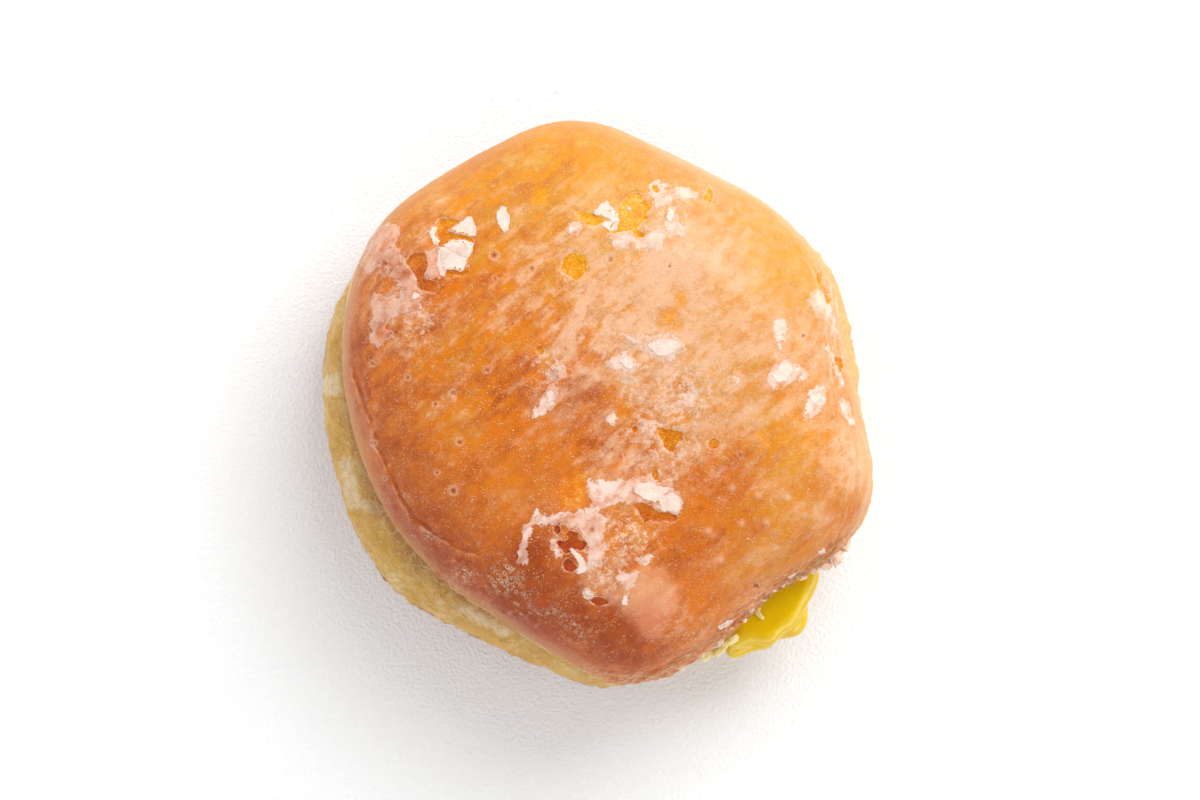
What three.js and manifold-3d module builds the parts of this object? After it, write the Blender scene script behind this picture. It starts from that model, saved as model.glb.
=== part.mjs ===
// A whole, glazed, yeast-raised doughnut of the filled kind, with no hole: a browned dome and a browned
// base with the pale proof line between them. Its lemon filling lies in a pocket in the crumb and has
// oozed out of a torn slit in one side, as a thick tongue with a drip under it.
//
// Millimetres, +Z up. The origin is under the middle of the bounding box, on the resting face.
// The slit faces the front right, between +X and -Y.

import * as THREE from "three";
import { mergeVertices } from "three/addons/utils/BufferGeometryUtils.js";
import Module from "manifold-3d";

// ---- Driving dimensions ----

// Heights above the surface that the doughnut stands on.
const CROWN_Z = 42;
const BASE_Z = 9; // where the base crust is widest
const GROOVE_Z = 17; // the groove under the dome, at the top of the pale proof line
const LIP_Z = 23.5; // where the dome is widest

// Shares of the outline's radius at those heights.
const REST_SHARE = 0.52; // the flat resting spot
const GROOVE_SHARE = 0.95;

// An outline is a polygon with softly rounded corners. Each flat of it faces away from the middle in the
// direction "at", in degrees anticlockwise from +X, and lies "away" from the middle.
const DOME_FLATS = [
  { at: 14, away: 40 },
  { at: 64, away: 41.5 },
  { at: 120, away: 45.2 },
  { at: 169, away: 44.6 },
  { at: 202, away: 39.7 },
  { at: 237, away: 37.7 },
  { at: 306, away: 41.9 },
];
const BASE_FLATS = [
  { at: 7, away: 41.9 },
  { at: 61, away: 40.8 },
  { at: 118, away: 43.1 },
  { at: 153, away: 47.1 },
  { at: 195, away: 44.1 },
  { at: 247, away: 42.5 },
  { at: 307, away: 40.1 },
];
const CORNER_SHARPNESS = 10;
const CROWN_RADIUS = 42; // the outline turns round, with this radius, towards the crown
// The dome is drawn in over the slit, in degrees and millimetres.
const PINCH = { at: 312, spread: 9, depth: 1.5 };

// Soft swells of the risen dough over the dome: each is a hump or a dent with its own spot and spread.
const SWELLS = [
  { x: -19, y: 12, spread: 11, rise: 0.9 },
  { x: 4, y: -30, spread: 10, rise: 1.3 },
  { x: 20, y: 17, spread: 13, rise: 0.8 },
  { x: -4, y: -6, spread: 9, rise: -1.1 },
  { x: 9, y: 31, spread: 8, rise: -0.6 },
];

// The filling: ellipsoids that run into each other. They are placed from the doughnut's axis, "out"
// towards the slit, "along" the slit and "up", and "size" holds their half sizes in those directions.
const SLIT_AT = 308;
const FILLING = [
  { out: 5, along: 0, up: 18.5, size: [24, 21, 8], sides: 28 }, // the pocket
  { out: 31, along: 2.2, up: 17.6, size: [14, 8, 3.6], sides: 20 }, // the neck through the wall
  { out: 41, along: 2.4, up: 17.4, size: [5.7, 9, 4.4], sides: 24 }, // the tongue outside
  { out: 42.8, along: -3.1, up: 15.4, size: [4, 4, 3.4], sides: 18 }, // a fold at its left end
  { out: 44.9, along: 2.9, up: 13.4, size: [3.9, 4, 4], sides: 18 }, // the drip under it
];
const CLEARANCE = 0.3; // between the filling and the crumb round it

const SEGMENTS = 60;
const STEPS_PER_CURVE = 7;
const MERGE_WITHIN = 1e-4;

// ---- Shape of the dough ----

const radians = THREE.MathUtils.degToRad;
const { lerp, smoothstep } = THREE.MathUtils;

// The outline's radius in one direction: the flats joined by a power mean, which rounds the corners.
function outlineRadius(flats, angle) {
  let sum = 0;
  for (const { at, away } of flats) {
    const facing = Math.max(Math.cos(angle - radians(at)), 0) / away;
    sum += facing ** CORNER_SHARPNESS;
  }
  return sum ** (-1 / CORNER_SHARPNESS);
}

// The side of the doughnut from the middle of the resting face up to the crown, as (share, height).
function sideProfile() {
  const side = new THREE.Path();
  side.moveTo(0, 0);
  side.lineTo(REST_SHARE * 0.5, 0);
  side.lineTo(REST_SHARE, 0);
  side.bezierCurveTo(0.78, 0, 1, BASE_Z * 0.25, 1, BASE_Z);
  side.bezierCurveTo(1, BASE_Z + 3, GROOVE_SHARE + 0.02, GROOVE_Z - 3, GROOVE_SHARE, GROOVE_Z);
  side.bezierCurveTo(GROOVE_SHARE - 0.01, GROOVE_Z + 2, 1, LIP_Z - 4, 1, LIP_Z);
  side.bezierCurveTo(1, LIP_Z + 7.5, 0.91, CROWN_Z - 3, 0.62, CROWN_Z - 1.2);
  side.bezierCurveTo(0.42, CROWN_Z - 0.2, 0.2, CROWN_Z, 0, CROWN_Z);
  return side.getPoints(STEPS_PER_CURVE);
}

// How far the dome's side is drawn in towards the middle, over the slit.
function pinchAt(angle) {
  const away = Math.acos(Math.cos(angle - radians(PINCH.at))) / radians(PINCH.spread);
  return PINCH.depth * Math.exp(-away * away);
}

function swellAt(x, y) {
  let rise = 0;
  for (const swell of SWELLS) {
    const distance = Math.hypot(x - swell.x, y - swell.y) / swell.spread;
    rise += swell.rise * Math.exp(-distance * distance);
  }
  return rise;
}

// Gives a turned shape of unit radius the outline of the base below the groove and of the dome above it.
function shapeDough(geometry) {
  const position = geometry.getAttribute("position");
  for (let i = 0; i < position.count; i += 1) {
    const share = Math.hypot(position.getX(i), position.getY(i));
    const angle = Math.atan2(position.getY(i), position.getX(i));
    const height = position.getZ(i);
    const dome = outlineRadius(DOME_FLATS, angle) - pinchAt(angle);
    const base = outlineRadius(BASE_FLATS, angle);
    const outline = lerp(base, dome, smoothstep(height, BASE_Z, GROOVE_Z + 2));
    const radius = share * lerp(CROWN_RADIUS, outline, smoothstep(share, 0, 0.85));
    const x = radius * Math.cos(angle);
    const y = radius * Math.sin(angle);
    const onDome = smoothstep(height, LIP_Z, LIP_Z + 8);
    position.setXYZ(i, x, y, height + onDome * swellAt(x, y));
  }
  return geometry;
}

// ---- Solids ----

const wasm = await Module();
wasm.setup();

function mergedPositions(geometry) {
  geometry.deleteAttribute("normal");
  geometry.deleteAttribute("uv");
  return mergeVertices(geometry, MERGE_WITHIN);
}

function solidOf(geometry) {
  return new wasm.Manifold(
    new wasm.Mesh({
      numProp: 3,
      vertProperties: geometry.getAttribute("position").array,
      triVerts: new Uint32Array(geometry.index.array),
    }),
  );
}

function geometryOf(solid) {
  const mesh = solid.getMesh();
  return new THREE.BufferGeometry()
    .setAttribute("position", new THREE.BufferAttribute(mesh.vertProperties, 3))
    .setIndex(new THREE.BufferAttribute(mesh.triVerts, 1));
}

function doughSolid() {
  const turned = new THREE.LatheGeometry(sideProfile(), SEGMENTS);
  turned.rotateX(Math.PI / 2);
  return solidOf(shapeDough(mergedPositions(turned)));
}

// The filling as one solid, or with a clearance the space that it takes out of the dough.
function fillingSolid(clearance) {
  const blobs = FILLING.map(({ out, along, up, size, sides }) => {
    const blob = new THREE.SphereGeometry(1, sides, sides / 2);
    blob.rotateX(Math.PI / 2);
    blob.scale(size[0] + clearance, size[1] + clearance, size[2] + clearance);
    blob.translate(out, along, up);
    blob.rotateZ(radians(SLIT_AT));
    return solidOf(mergedPositions(blob));
  });
  return blobs.reduce((whole, blob) => whole.add(blob));
}

// ---- Pieces ----

const doughMaterial = new THREE.MeshStandardMaterial({ color: 0xd98a3c, roughness: 0.35, metalness: 0 });
const fillingMaterial = new THREE.MeshStandardMaterial({ color: 0xdcb400, roughness: 0.15, metalness: 0 });

function piece(name, solid, material) {
  const mesh = new THREE.Mesh(geometryOf(solid), material);
  mesh.name = name;
  return mesh;
}

const doughnut = new THREE.Group();
doughnut.add(piece("dough", doughSolid().subtract(fillingSolid(CLEARANCE)), doughMaterial));
doughnut.add(piece("lemon_filling", fillingSolid(0), fillingMaterial));

// The middle of the bounding box goes over the origin.
const middle = new THREE.Box3().setFromObject(doughnut).getCenter(new THREE.Vector3());
doughnut.position.set(-middle.x, -middle.y, 0);

export default doughnut;
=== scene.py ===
"""The looks of a glazed doughnut filled with lemon curd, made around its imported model.

Shapes are worked out in millimetres, +Z up, and become metres when a piece is finished. Places on the
dome are given as seen from above: x to the right and y away from the front, from the model's origin.
"""

import math
import random
from collections import namedtuple
from functools import partialmethod

import bmesh
import bpy
import numpy as np
from mathutils import Matrix, Vector, noise
from mathutils.bvhtree import BVHTree


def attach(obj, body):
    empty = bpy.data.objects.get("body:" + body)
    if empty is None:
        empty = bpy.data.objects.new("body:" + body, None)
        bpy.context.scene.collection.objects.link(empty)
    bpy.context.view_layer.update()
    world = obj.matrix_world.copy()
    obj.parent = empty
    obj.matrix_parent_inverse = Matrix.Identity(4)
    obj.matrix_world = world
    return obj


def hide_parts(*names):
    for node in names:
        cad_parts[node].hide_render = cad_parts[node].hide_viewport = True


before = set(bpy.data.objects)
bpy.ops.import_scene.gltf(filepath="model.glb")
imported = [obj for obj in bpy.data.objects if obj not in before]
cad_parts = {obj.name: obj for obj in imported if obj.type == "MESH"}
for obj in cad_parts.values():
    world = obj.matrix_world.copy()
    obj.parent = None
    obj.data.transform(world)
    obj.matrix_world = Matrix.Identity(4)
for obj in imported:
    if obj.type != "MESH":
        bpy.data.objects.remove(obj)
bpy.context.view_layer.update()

MM = 0.001

# Heights of the doughnut's bands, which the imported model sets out.
BASE_Z = 9.0  # where the browned base is widest
GROOVE_Z = 17.0  # the groove under the dome
LIP_Z = 23.5  # where the dome is widest

SIDE_RADIUS = 42.0  # of the cylinder on which patterns for the side are laid out
DOME_RADIUS = 41.0
BRUSHED = 38  # the direction in which the glaze was brushed on, in degrees
FAR_OFF = 80.0  # outside the doughnut, from where it is looked for
OUTSIDE = -9.0  # the depth given to points that lie well outside an outline
DOWN = (0, 0, -1)

# ---- Numbers over many points ----


def smoothstep(low, high, value):
    share = np.clip((value - low) / (high - low), 0.0, 1.0)
    return share * share * (3.0 - 2.0 * share)


def bump(distance, width):
    """One at no distance, falling off smoothly over the width."""
    return np.exp(-((distance / width) ** 2))


def noise_at(points, size, seed, octaves=1):
    """Smooth noise from about -1 to 1, with features about "size" across in all or in each direction."""
    scale = 1.0 / np.broadcast_to(np.asarray(size, float), (3,))
    moved = points * scale + seed * 7.31
    if octaves == 1:
        return np.array([noise.noise(p) for p in moved.tolist()])
    return np.array([noise.fractal(p, 0.7, 2.1, octaves) for p in moved.tolist()])


def ridges_at(points, size, seed):
    """Thin crests, at one, between wide dips."""
    return 1.0 - np.minimum(np.abs(noise_at(points, size, seed)) * 3.2, 1.0)


def between(low, full, fading, gone, value):
    """One between two values, with smooth runs on both sides."""
    return smoothstep(low, full, value) * (1.0 - smoothstep(fading, gone, value))


def away_from(points, x, y):
    """How far each point is from a place, as seen from above."""
    return np.hypot(points[:, 0] - x, points[:, 1] - y)


def angle_from(points, degrees):
    """How many degrees each point lies from a direction round the doughnut's axis."""
    around = np.degrees(np.arctan2(points[:, 1], points[:, 0])) - degrees
    return np.abs((around + 180.0) % 360.0 - 180.0)


def sector(points, middle, half, fade):
    """One within so many degrees of a direction, fading out past them."""
    return bump(np.maximum(angle_from(points, middle) - half, 0.0), fade)


def round_and_up(points):
    """Each point unrolled from the side: how far round, how far up, and nothing in depth."""
    around = np.unwrap(np.arctan2(points[:, 1], points[:, 0]))
    return np.stack([around * SIDE_RADIUS, points[:, 2], np.zeros(len(points))], axis=1)


# ---- Meshes ----


def coordinates(mesh):
    flat = np.empty(len(mesh.vertices) * 3)
    mesh.vertices.foreach_get("co", flat)
    return flat.reshape(-1, 3)


def outwards(mesh):
    """The direction in which the surface faces at each vertex."""
    flat = np.empty(len(mesh.vertices) * 3)
    mesh.vertices.foreach_get("normal", flat)
    return flat.reshape(-1, 3)


def put_at(mesh, points):
    mesh.vertices.foreach_set("co", points.astype(np.float32).ravel())
    mesh.update()


def mark(mesh, name, values):
    """Keeps one number for each vertex, for the finish to read."""
    attribute = mesh.attributes.new(name, "FLOAT", "POINT")
    attribute.data.foreach_set("value", np.asarray(values, np.float32))


def tree_of(mesh):
    """A tree that finds the nearest or first point met on a mesh."""
    return BVHTree.FromPolygons(coordinates(mesh).tolist(), [p.vertices[:] for p in mesh.polygons])


def mesh_of(shape, name):
    mesh = bpy.data.meshes.new(name)
    shape.to_mesh(mesh)
    shape.free()
    return mesh


def shown(name, data):
    thing = bpy.data.objects.new(name, data)
    bpy.context.scene.collection.objects.link(thing)
    return thing


def with_modifiers(mesh, modifiers):
    """The mesh after modifiers given as (type, settings)."""
    thing = shown("work", mesh)
    for kind, settings in modifiers:
        modifier = thing.modifiers.new(kind, kind)
        for key, value in settings.items():
            setattr(modifier, key, value)
    thing.vertex_groups.new(name="inside")
    graph = bpy.context.evaluated_depsgraph_get()
    result = bpy.data.meshes.new_from_object(thing.evaluated_get(graph))
    bpy.data.objects.remove(thing)
    return result


def even_copy(node, cell, passes):
    """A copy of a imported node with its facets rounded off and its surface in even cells."""
    shape = bmesh.new()
    shape.from_mesh(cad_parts[node].data)
    bmesh.ops.remove_doubles(shape, verts=shape.verts, dist=1e-7)
    bmesh.ops.scale(shape, verts=shape.verts, vec=(1 / MM, 1 / MM, 1 / MM))
    bmesh.ops.join_triangles(
        shape,
        faces=shape.faces,
        angle_face_threshold=math.radians(25),
        angle_shape_threshold=math.radians(50),
    )
    return with_modifiers(
        mesh_of(shape, node),
        [
            ("SUBSURF", {"levels": 2, "render_levels": 2}),
            ("REMESH", {"mode": "VOXEL", "voxel_size": cell, "use_smooth_shade": True}),
            ("SMOOTH", {"factor": 0.5, "iterations": passes}),
        ],
    )


def finished(name, mesh, finish, node=None):
    """Makes a mesh in millimetres a piece of the doughnut."""
    mesh.transform(Matrix.Scale(MM, 4))
    mesh.shade_smooth()
    mesh.materials.clear()
    mesh.materials.append(finish)
    thing = shown(name, mesh)
    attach(thing, "root")
    if node:
        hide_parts(node)


# ---- Where things lie on the dome ----

Patch = namedtuple("Patch", "x y length width turn", defaults=(0,))


def outlines(*lists):
    """Outlines seen from above, each from its corners' x and y one after the other."""
    return [np.array(numbers, float).reshape(-1, 2) for numbers in lists]


def patches(*lists):
    """Oval patches, each from its middle's x and y, its length and width and its turn in degrees."""
    return [Patch(*numbers) for numbers in lists]


# The crust shows through holes in the glaze: round popped ones, and ragged ones under lifted flakes.
ROUND_HOLES = patches(
    (-3.5, 21.8, 4.3, 4.1), (18.5, -6.3, 1.9, 1.6, 30), (6.1, -3.9, 1.1, 1.1), (-9.0, 8.6, 1.3, 1.6, 20),
    (9.4, -11.2, 1.2, 1.7), (25.4, -29.0, 1.0, 0.8),
)
HOLES = outlines(
    (-3.4, 30, -2, 30.6, -0.6, 30.4, 0.2, 29.8, 1.6, 29.2, 0.6, 28.4, -0.6, 27.9, -2.2, 28.8),
    (3.6, 31, 4.4, 32.4, 6, 33.6, 7.2, 33.2, 7.4, 32.2, 9, 31.8, 8, 30.2, 8.4, 29.2, 7, 28.4),
    (3.6, 31, 8.4, 30, 7, 28.4, 6.4, 27.6, 7.8, 27.2, 7.6, 26.5, 6.4, 26.4, 5.4, 27.6, 2.4, 27),
    (38, 7.6, 38.6, 7.4, 39.4, 6.4, 39.6, 5.4, 39, 5.2, 38.8, 6, 38.2, 6.4),
    (8.9, 34.6, 9.8, 34.9, 10.2, 34.2, 9.8, 33.4, 9.2, 33.9),
    (17, 33.4, 17.6, 33.6, 17.9, 34.6, 18.6, 33.8, 18.6, 32.6, 18, 32, 17.2, 32.6),
    (9.6, -3.8, 12.4, -4, 13.6, -4.4, 14, -5.6, 12.8, -6.2, 12, -7.6, 10.6, -7, 10, -5.6),
    (5.5, -15.6, 7.4, -15.6, 8.8, -16.2, 10, -17.2, 11.2, -16.9, 12.6, -17.6, 12.6, -18.6),
    (5.5, -15.6, 10, -17.2, 12.6, -18.6, 10, -18.6, 8.6, -18.2, 7.4, -18.7, 6.6, -17.4),
    (-6.9, -19.8, -6.4, -18.8, -5.6, -19.4, -5.5, -20, -6, -20.5, -6.8, -20.3),
    (-4.8, -20.6, -3.8, -20, -2.8, -20.2, -2.8, -21.2, -1.3, -22, -1.8, -22.8, -2.8, -23.2),
    (-4.4, -21.2, -1.8, -22.8, -3.6, -22.8, -4.8, -23.6, -5.8, -23, -6.6, -21.2, -5.2, -21.6),
    (-4.8, -24.2, -3.8, -24.6, -2.8, -25.8, -3.8, -26.6, -4.6, -26.4, -5.4, -25.6),
    (-1.2, -30.9, 0.2, -30.4, 1.8, -31, 1.8, -31.8, 0.6, -31.9, -0.6, -31.4),
    (-30.2, 22.4, -29.2, 24, -27, 24, -26.8, 22.4, -27.2, 20.2, -28.2, 19.8, -28.8, 20.8),
    (-28.4, 20, -26.4, 19.8, -25, 18.9, -25, 17.8, -26.8, 17.6, -28, 18.2),
    (-25.4, 28.4, -24.8, 29.6, -21.4, 29.3, -22.6, 28.3, -23.6, 27.3, -22.6, 26.9),
    (-25.2, 28.4, -22.6, 26.9, -19.4, 26.3, -19.4, 25.4, -22.8, 25.9, -24, 25.1, -25, 25.2),
    (-23.9, 21.3, -22.6, 21.5, -21.2, 20.8, -20.2, 22, -19.9, 20.8, -21.2, 20.1, -23.9, 20),
    (34.5, 21.2, 35.5, 19.8, 36.4, 17.8, 36.7, 15.8, 35.8, 15.8, 35, 17.8, 34.3, 19.6),
)

# Thin wet places, where the glaze is clear and the crust glows through.
WET = patches(
    (-3.4, -13.8, 5.4, 6.8, 10), (-11.2, 10.6, 4.6, 2.4, 70), (-7.6, -4.0, 2.6, 1.8, 40),
    (-8.6, 32.9, 3.0, 2.4, 30), (-0.6, 37.0, 1.6, 1.2), (-32.6, 6.5, 3.2, 2.4), (-25.0, 4.6, 4.0, 2.0, 60),
    (-20.6, 0.8, 2.6, 3.2), (-15.4, -4.0, 3.4, 2.0, 45), (-0.9, 7.0, 2.6, 2.0), (1.5, 4.6, 2.4, 1.5, -30),
    (16.6, -15.0, 3.0, 2.2), (26.4, -21.4, 2.2, 1.4), (36.5, -5.8, 1.6, 2.8), (16.2, -30.5, 3.6, 8.0, -20),
    (21.4, 29.2, 1.7, 1.2), (31.6, -7.2, 1.0, 1.6), (13.2, 16.6, 3.0, 3.0), (11.2, 13.6, 3.4, 3.2, 70),
    (12.6, 12.4, 2.4, 2.0), (26.2, -5.0, 3.0, 2.6), (29.3, -5.2, 2.0, 1.4, 50), (39.0, 4.6, 1.4, 2.2),
    (4.2, -0.6, 3.4, 4.0),
)

# Thin places where the bare crust sparkles through.
GOLD = patches(
    (-3.4, -13.6, 4.8, 6.0, 10), (13.2, 16.6, 1.9, 1.9), (11.2, 13.6, 2.3, 2.1, 70), (12.6, 12.4, 1.5, 1.3),
    (26.2, -5.0, 1.6, 1.4), (-8.6, 32.9, 2.4, 1.8, 30), (4.3, -0.6, 2.2, 2.8),
)

# Where the glaze has dried to a whitish film with ragged edges.
FILMS = outlines(
    (-38, 23, -36.4, 26.4, -34.4, 28.2, -32.4, 28.6, -31.2, 27, -32.4, 25, -34.2, 22.4, -36, 20.8),
    (-33.4, 23.8, -32, 25.2, -30.8, 23, -29, 20.4, -28.6, 18.6, -27.6, 17.2, -28.2, 16.4),
    (-33.4, 23.8, -28.8, 19.4, -28.2, 16.4, -30.4, 16.4, -31.2, 17.6, -30.8, 18.8, -32.6, 20.8),
    (-35.2, 17.2, -31, 16.4, -28.4, 16.4, -27.6, 15, -29, 14.2, -31, 14.8, -32.4, 13.8),
    (-35.2, 17.2, -32.4, 14, -33.8, 13, -33.6, 11.6, -32.2, 11, -33.8, 9.8, -34.8, 9, -35.6, 10),
    (-26.8, 24, -25.2, 24.4, -24.6, 20.2, -26.4, 20.2, -27.2, 20.4, -26.9, 22.4),
    (8, 33, 9.4, 35.2, 10.6, 34.8, 10.4, 33.2, 11.5, 34.2, 14, 34, 15.8, 33.4, 15.8, 32.8),
    (8, 33, 11.5, 33.6, 15.8, 32.8, 13.6, 32.2, 12, 32.6, 10.8, 31.4, 9.6, 31.4, 9.3, 32.4),
    (11.3, 31.2, 12.4, 31.2, 12.6, 29.6, 13.2, 28.6, 13.6, 27, 12.6, 26.4, 11, 27.4, 10.8, 29.2),
    (1.4, 26.6, 4.4, 27.2, 6.4, 25.8, 8, 26.6, 9.6, 27.4, 10.8, 26.4, 10, 24.4, 8.2, 24.8, 3.2, 24.8),
    (-4.2, 28.2, -3, 28.6, -2.4, 27.6, -3.2, 26.6, -4.2, 27),
    (6.4, 10.2, 8.4, 10.8, 12, 10.8, 13.2, 9.8, 14, 8.8, 12.6, 7.8, 11.6, 7, 10, 6.9, 8.6, 7.6, 7, 8.8),
    (3.8, 11, 5.4, 10.4, 7.4, 9.9, 7.6, 9.2, 5.2, 9.8, 4, 10.5),
    (1.6, 6.6, 3, 7.6, 4.6, 8, 6, 7.4, 6.6, 6.2, 5.4, 5, 4.2, 5.4, 2.4, 5.8),
    (-8.3, 2, -7.4, 2.8, -6.4, 2.2, -6.6, 0.6, -7.4, -0.8, -9.8, -2, -10.3, -1, -8.8, 0),
    (-7, 5.4, -5.4, 6.2, -4.6, 5.2, -5.6, 4.2, -7.4, 4.2),
    (13.4, 4.2, 15, 3.6, 15.9, 2, 15, 0.2, 13.2, -0.8, 12, -0.4, 14, 1.2, 14.4, 2.6),
    (1.2, -2.6, 2.6, -1.6, 3.4, -2.4, 2.4, -3.2),
    (5, -4.6, 7.2, -2.4, 9, -3.2, 8.6, -5.2, 7.4, -6, 5.4, -5.6),
    (27.8, 12.8, 29, 13.5, 29.9, 12.6, 29.7, 11.4, 29.2, 10, 28.8, 8.6, 28.3, 10, 28.3, 11.8),
    (27.2, 4.4, 28, 5.6, 29.2, 6.8, 30.8, 6.6, 31.8, 5.8, 33.4, 4.4, 31, 3.8, 29, 2.6, 28, 2.4),
    (33.8, 2, 34.8, 2.6, 36.1, 2.2, 36.4, 1, 35.8, 0, 35, -1, 33.6, -2.2, 32.8, -2.4, 33.2, 0.4),
    (21, 4.2, 22.3, 4, 22.3, 3, 21, 2.9),
    (-1.3, -12, 0, -12, 1.6, -13.6, 4, -12.6, 6, -11.8, 8.4, -11.4, 9, -12.4, 11.8, -12, 11.8, -13.6),
    (-1.3, -12.4, 8, -12.2, 11.8, -13.2, 13.2, -14.6, 13.2, -16.2, 12.8, -17.2, 11.2, -16.9),
    (-1.3, -12.2, 12.4, -13.8, 11.2, -16.9, 9.4, -16.2, 7.6, -15.6, 6, -15.2, 2.4, -15.6, -0.4, -17),
    (-10.2, -17.8, -9.4, -16.8, -8.8, -17.6, -6.4, -17.6, -4, -17.4, -1.6, -16.6, 0.6, -16.8),
    (-3.4, -17.6, -1, -16.8, 1.6, -18.2, 0.6, -21, 1.2, -22.8, 0.6, -24.6, -1.6, -26, -1, -22.4,
     -2.6, -19.6),
    (-9.6, -18, -2, -17.4, -3, -19.2, -5, -18.9, -6.8, -18.5, -8.4, -18.9, -10.4, -19.2),
    (-10.8, -18.4, -9.8, -18.4, -11.0, -22, -11.3, -25.2, -12.3, -25, -12, -22.8),
    (-7.2, -21.2, -6.6, -21.4, -6, -23, -5.2, -24.4, -6.2, -24.2, -7, -22.8),
    (3.6, -26.6, 4.4, -26.8, 6.4, -26.4, 5.6, -28.4, 4.9, -29.9, 4.3, -28.6, 3.6, -27.8),
    (-2.2, -29.8, -1.4, -29.1, 0, -30.4, -1.6, -30.5),
    (6.6, -24.6, 8.2, -23.8, 8.3, -24.5, 7.2, -25.4),
    (33, 17, 34.4, 18, 35.6, 16.2, 36.9, 14, 38, 11.2, 37.5, 10.2, 36, 12.7, 34, 14.4),
    (36.3, 9, 36.9, 8.8, 39.4, 3.4, 39.1, 3, 38, 5.4, 37, 7),
    (38.6, 0.6, 39.6, 0.8, 40.6, -3.4, 40.2, -3.8, 39.2, -1.6),
)

# Plates of hard white glaze that have come loose at their edges.
FLAKES = outlines(
    (-23.8, 27.4, -21.2, 29, -20.4, 29.9, -19.6, 29.6, -19, 27.8, -19.1, 26.3, -20.6, 26.6, -22.4, 27.1),
    (-24.9, 25.3, -23.7, 25.3, -22.9, 26.2, -20.6, 26, -19.2, 25.2, -19.7, 23.6, -20.4, 22.8),
    (-25, 25, -20, 25, -20.4, 22.8, -20.8, 21, -21.3, 20.7, -22.9, 21.3, -23.7, 21.2, -24, 19.7),
    (-25, 24.8, -23, 24, -23.7, 21.2, -24, 19.7, -24.9, 20.2, -25.3, 22),
    (-26.7, 27.4, -25.6, 28.3, -25.1, 28, -25.6, 27, -24.9, 26, -25, 24.8, -25.9, 25.2, -26.2, 26.2),
    (-15.9, 30.4, -15.2, 31.3, -14.2, 31.3, -13.6, 29.4, -13.8, 27.6, -14.6, 26.8, -15.8, 28.4),
    (-0.8, 30.1, 0.6, 31.7, 1.6, 32.2, 2.3, 31.6, 3.4, 30.2, 3.7, 28.9, 2.6, 28.6, 1.8, 29.3),
    (3.7, 29.4, 3.3, 27.4, 2.2, 27.3, 0.4, 28.2, 1.8, 28.9),
    (4.5, 30.9, 5.2, 31.4, 5.7, 30.9, 5.2, 30.4),
    (7.8, 9.4, 9.4, 10.3, 12.2, 10.2, 13.4, 8.9, 11.8, 7.7, 10.4, 7.3, 8.8, 7.9),
    (3.4, 6.8, 4.8, 7.6, 5.8, 7, 6, 6.2, 5.2, 5.4, 4.2, 5.8),
    (-8, 1.8, -7.2, 2.4, -6.6, 1.8, -6.9, 0.6, -7.8, 0.2),
    (27.6, 4.6, 29.2, 6.4, 30.6, 6.3, 31.4, 5.4, 30, 3.8, 28.6, 3),
    (34, 1.6, 35.6, 1.9, 35.8, 0.8, 34.6, -0.2, 33.8, 0.4),
    (6.4, -12.4, 8.6, -12, 9.6, -12.8, 11.4, -13, 11.2, -14.2, 9.4, -15.6, 7.2, -15, 5.8, -13.8),
    (9.6, -14.8, 11.6, -13.8, 13.2, -14.6, 13.2, -16.2, 12.8, -17.3, 11.3, -16.9, 10.4, -17.2),
    (-4.5, -22.9, -3.6, -22.8, -2.6, -23.6, -1.2, -26, -1.4, -26.5, -3.5, -26.8, -2.7, -25.6),
    (4.3, -30, 5, -30.2, 4.9, -31.6, 4, -31.9, 3.9, -31.4),
    (-2, -29.6, -1.4, -29.2, -0.2, -30.3, -1.6, -30.4),
    (-28.8, 18, -27.7, 17.2, -28.2, 16.5, -29.4, 16.6),
    (11.4, 31, 12.2, 31, 12.4, 29.6, 11.4, 28.6, 11, 29.4),
    (19.4, -35.4, 21, -34.2, 22, -34.6, 20.6, -36, 19.6, -36.2),
    (30.4, -27.6, 31.6, -26.8, 32, -27.4, 31, -28),
    (35, -23.6, 36.2, -22.8, 36.8, -23.8, 35.6, -24.4),
)

# A pool where the glaze ran together, thick and peach-coloured.
POOL = outlines(
    (3.4, -27.6, 6.6, -25.6, 10.6, -26, 13, -28.4, 13.2, -31, 11.6, -34.4, 10, -37, 8.4, -37.8, 6.4, -36.4,
     4.4, -34, 2, -31.4, 2, -29.4),
)[0]

# Burst bubbles, each a small crater with a raised ring: x, y and radius.
CRATERS = [
    (-16.2, 23.5, 0.62), (-10.2, 21.4, 0.5), (-16.0, 20.0, 0.3), (-35.6, 6.4, 0.4), (-29.8, 4.2, 0.4),
    (-22.6, 1.8, 0.45), (-25.4, 0.0, 0.4), (-21.6, -6.0, 0.5), (-22.6, -13.7, 0.6), (-25.2, -10.8, 0.35),
    (-35.4, -6.2, 0.42), (-33.6, -11.8, 0.35), (-31.4, 16.9, 0.35), (-17.2, 5.4, 0.45), (-0.7, -19.8, 0.55),
    (11.6, 21.9, 0.4), (2.2, 22.8, 0.5), (32.6, 10.8, 0.4), (22.8, -8.0, 0.4),
]

# Whole bubbles that stand out from the scattered ones as pale dots: x, y and radius.
PALE_BLISTERS = [
    (30.2, -14.8, 0.6), (26.8, -18.6, 0.55), (25.6, -14.4, 0.5), (22.9, -18.8, 0.5), (17.6, -20.0, 0.55),
    (33.0, -17.6, 0.5), (19.6, -24.6, 0.5), (28.4, -22.8, 0.45), (21.4, -13.2, 0.5),
]

# Bigger bubbles, under the glaze: x, y and radius.
BIG_BLISTERS = [(-8.6, -31.4, 1.3), (-25.0, -27.0, 0.7), (-3.6, -33.4, 0.6), (-32.0, -16.4, 0.6)]

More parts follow.
